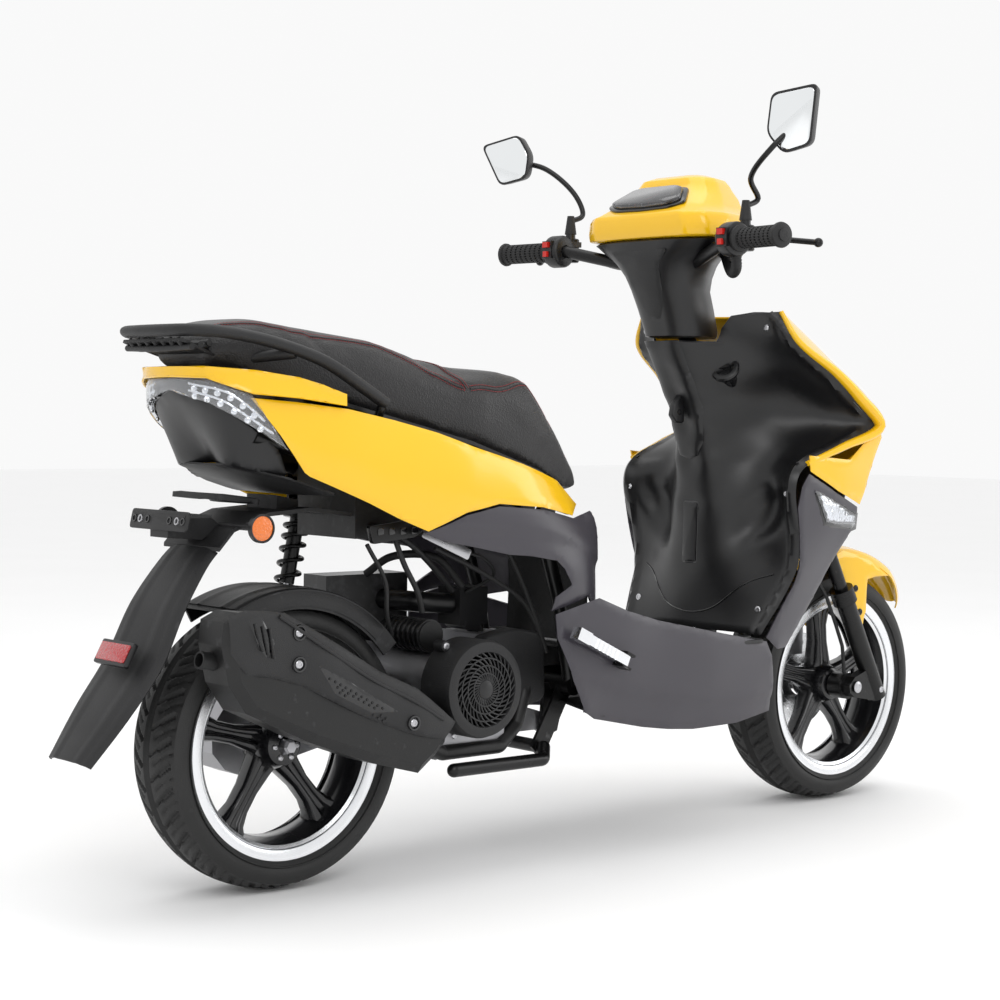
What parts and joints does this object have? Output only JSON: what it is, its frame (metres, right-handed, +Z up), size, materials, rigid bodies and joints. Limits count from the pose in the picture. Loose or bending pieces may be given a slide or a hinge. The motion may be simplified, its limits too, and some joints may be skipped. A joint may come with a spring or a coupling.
{
  "type": "moped scooter",
  "caption": "Step-through moped scooter with a stepped seat, glossy side panels, alloy wheels, rear grab rail and folding footpegs.",
  "frame": {"origin": "on the ground, midway along the overall length and on the centre plane", "axes": "+X forward, +Y to the rider's left, +Z up"},
  "size_m": [1.864, 0.7443, 1.2978],
  "materials": {
    "paint_yellow": "glossy painted yellow",
    "panel_grey": "satin dark grey",
    "black_plastic": "satin black",
    "black_metal": "satin black paint",
    "steel": "bare steel",
    "aluminium": "cast aluminium",
    "alloy_black": "black painted cast alloy",
    "tyre": "matt tread rubber",
    "rubber": "matt rubber",
    "vinyl": "black grained vinyl over foam",
    "clear_lens": "clear moulded lens",
    "amber_red": "reflector plastic",
    "red_plastic": "red button plastic",
    "instrument": "dark glossy instrument face"
  },
  "bodies": {
    "chassis": {"main_frame": "black_metal", "leg_shield": "black_plastic", "front_cowl": "paint_yellow", "front_lamps": "clear_lens", "floorboard": "black_plastic", "side_skirts": "panel_grey", "seat_base_panels": "panel_grey", "luggage_bucket": "black_plastic", "fuel_tank": "black_plastic", "side_panels": "paint_yellow", "tail_housing": "black_plastic", "tail_lamp_lens": "clear_lens", "grab_rail": "black_metal", "rear_mudguard": "black_plastic", "mudflap": "black_plastic", "reflectors": "amber_red"},
    "seat": {"seat_cushion": "vinyl", "seat_pan": "black_plastic"},
    "engine": {"crankcase": "aluminium", "cylinder": "aluminium", "fan_cover": "black_plastic", "intake": "black_plastic", "starter_motor": "black_metal", "exhaust": "black_metal", "heat_shield": "black_metal", "rear_hugger": "black_plastic"},
    "crank": {"cooling_fan": "black_plastic"},
    "rear_wheel": {"rear_rim": "alloy_black", "rear_tyre": "tyre"},
    "stand": {"centre_stand": "black_metal"},
    "kick": {"kick_lever": "steel"},
    "peg_right": {"footpeg_right": "aluminium"},
    "peg_left": {"footpeg_left": "aluminium"},
    "shock_upper": {"shock_body": "black_metal", "shock_spring": "black_metal"},
    "shock_lower": {"shock_rod": "steel"},
    "steering": {"steering_stem": "steel", "handlebar": "black_metal", "handlebar_cover": "paint_yellow", "neck_cover": "black_plastic", "instrument": "instrument", "left_grip": "rubber", "switch_housings": "black_plastic"},
    "throttle": {"throttle_grip": "rubber"},
    "lever_right": {"brake_lever_right": "black_metal"},
    "lever_left": {"brake_lever_left": "black_metal"},
    "starter": {"starter_button": "red_plastic"},
    "lights": {"light_switch": "red_plastic"},
    "horn": {"horn_button": "red_plastic"},
    "indicators": {"indicator_switch": "red_plastic"},
    "mirror_r": {"mirror_right": "black_plastic"},
    "mirror_l": {"mirror_left": "black_plastic"},
    "fork_lower": {"fork_sliders": "black_metal", "front_fender": "paint_yellow", "brake_calliper": "aluminium", "front_cables": "rubber"},
    "front_wheel": {"front_rim": "alloy_black", "front_tyre": "tyre", "brake_disc": "steel"},
    "ignition": {"ignition_lock": "black_metal"}
  },
  "joints": [
    {"name": "steering", "type": "hinge", "parent": "chassis", "child": "steering", "pos_m": [0.50993, 0, 0.53621], "axis": [-0.4695, 0, 0.8829], "range_deg": [-38, 38]},
    {"name": "fork_slide", "type": "slide", "parent": "steering", "child": "fork_lower", "axis": [-0.4695, 0, 0.8829], "range_m": [-0.008, 0.05], "stiffness_N_per_m": 11000, "springref_m": -0.03},
    {"name": "front_wheel_spin", "type": "hinge", "parent": "fork_lower", "child": "front_wheel", "pos_m": [0.71, 0, 0.222], "axis": [0, 1, 0], "continuous": true},
    {"name": "rear_swing", "type": "hinge", "parent": "chassis", "child": "engine", "pos_m": [-0.06, 0, 0.214], "axis": [0, 1, 0], "range_deg": [-2.5, 6.5], "stiffness_Nm_per_rad": 5200, "springref_deg": -5.16},
    {"name": "rear_wheel_spin", "type": "hinge", "parent": "engine", "child": "rear_wheel", "pos_m": [-0.58, 0, 0.222], "axis": [0, 1, 0], "continuous": true},
    {"name": "crank_spin", "type": "hinge", "parent": "engine", "child": "crank", "pos_m": [-0.286, 0, 0.3], "axis": [0, 1, 0], "continuous": true},
    {"name": "shock_tilt", "type": "hinge", "parent": "chassis", "child": "shock_upper", "pos_m": [-0.455, 0.102, 0.585], "axis": [0, 1, 0], "range_deg": [-3, 3]},
    {"name": "shock_slide", "type": "slide", "parent": "shock_upper", "child": "shock_lower", "axis": [0.191, 0, 0.9816], "range_m": [-0.024, 0.056], "deforming": ["shock_spring"]},
    {"name": "stand_swing", "type": "hinge", "parent": "chassis", "child": "stand", "pos_m": [-0.105, 0, 0.184], "axis": [0, -1, 0], "range_deg": [0, 70], "stiffness_Nm_per_rad": 4, "springref_deg": -34.38},
    {"name": "kick_swing", "type": "hinge", "parent": "engine", "child": "kick", "pos_m": [-0.316, 0.16, 0.262], "axis": [0, -1, 0], "range_deg": [0, 55], "stiffness_Nm_per_rad": 3, "springref_deg": -34.38},
    {"name": "seat_hinge", "type": "hinge", "parent": "chassis", "child": "seat", "pos_m": [-0.028, 0, 0.583], "axis": [0, 1, 0], "range_deg": [0, 62]},
    {"name": "peg_fold_right", "type": "hinge", "parent": "chassis", "child": "peg_right", "pos_m": [-0.029, -0.216, 0.334], "axis": [0.4251, 0, 0.9052], "range_deg": [0, 90]},
    {"name": "peg_fold_left", "type": "hinge", "parent": "chassis", "child": "peg_left", "pos_m": [-0.029, 0.216, 0.334], "axis": [-0.4251, 0, -0.9052], "range_deg": [0, 90]},
    {"name": "throttle_turn", "type": "hinge", "parent": "steering", "child": "throttle", "pos_m": [0.19776, -0.29561, 1.03535], "axis": [0.1552, 0.9879, 0.0071], "range_deg": [0, 75], "stiffness_Nm_per_rad": 0.5, "springref_deg": -17.19},
    {"name": "lever_right_pull", "type": "hinge", "parent": "steering", "child": "lever_right", "pos_m": [0.24587, -0.21855, 1.0399], "axis": [0, 0, -1], "range_deg": [0, 14], "stiffness_Nm_per_rad": 2.5, "springref_deg": -17.19},
    {"name": "lever_left_pull", "type": "hinge", "parent": "steering", "child": "lever_left", "pos_m": [0.24587, 0.21855, 1.0399], "axis": [0, 0, 1], "range_deg": [0, 14], "stiffness_Nm_per_rad": 2.5, "springref_deg": -17.19},
    {"name": "starter_press", "type": "slide", "parent": "steering", "child": "starter", "axis": [1, 0, 0], "range_m": [0, 0.0025], "stiffness_N_per_m": 600, "springref_m": -0.002},
    {"name": "lights_slide", "type": "slide", "parent": "steering", "child": "lights", "axis": [0, 1, 0], "range_m": [-0.003, 0.003]},
    {"name": "horn_press", "type": "slide", "parent": "steering", "child": "horn", "axis": [1, 0, 0], "range_m": [0, 0.0025], "stiffness_N_per_m": 600, "springref_m": -0.002},
    {"name": "indicators_slide", "type": "slide", "parent": "steering", "child": "indicators", "axis": [0, 1, 0], "range_m": [-0.003, 0.003]},
    {"name": "mirror_right_turn", "type": "hinge", "parent": "steering", "child": "mirror_r", "pos_m": [0.23987, -0.21855, 1.0959], "axis": [0, 0, 1], "range_deg": [-25, 25]},
    {"name": "mirror_left_turn", "type": "hinge", "parent": "steering", "child": "mirror_l", "pos_m": [0.23987, 0.21855, 1.0959], "axis": [0, 0, 1], "range_deg": [-25, 25]},
    {"name": "key_turn", "type": "hinge", "parent": "chassis", "child": "ignition", "pos_m": [0.352, -0.076, 0.818], "axis": [-0.7505, -0.3502, 0.5604], "range_deg": [-90, 0]}
  ],
  "couplings": [
    {"joint": "shock_tilt", "follows": "rear_swing", "ratio": -0.1752},
    {"joint": "shock_slide", "follows": "rear_swing", "m_per_rad": 0.4586}
  ]
}
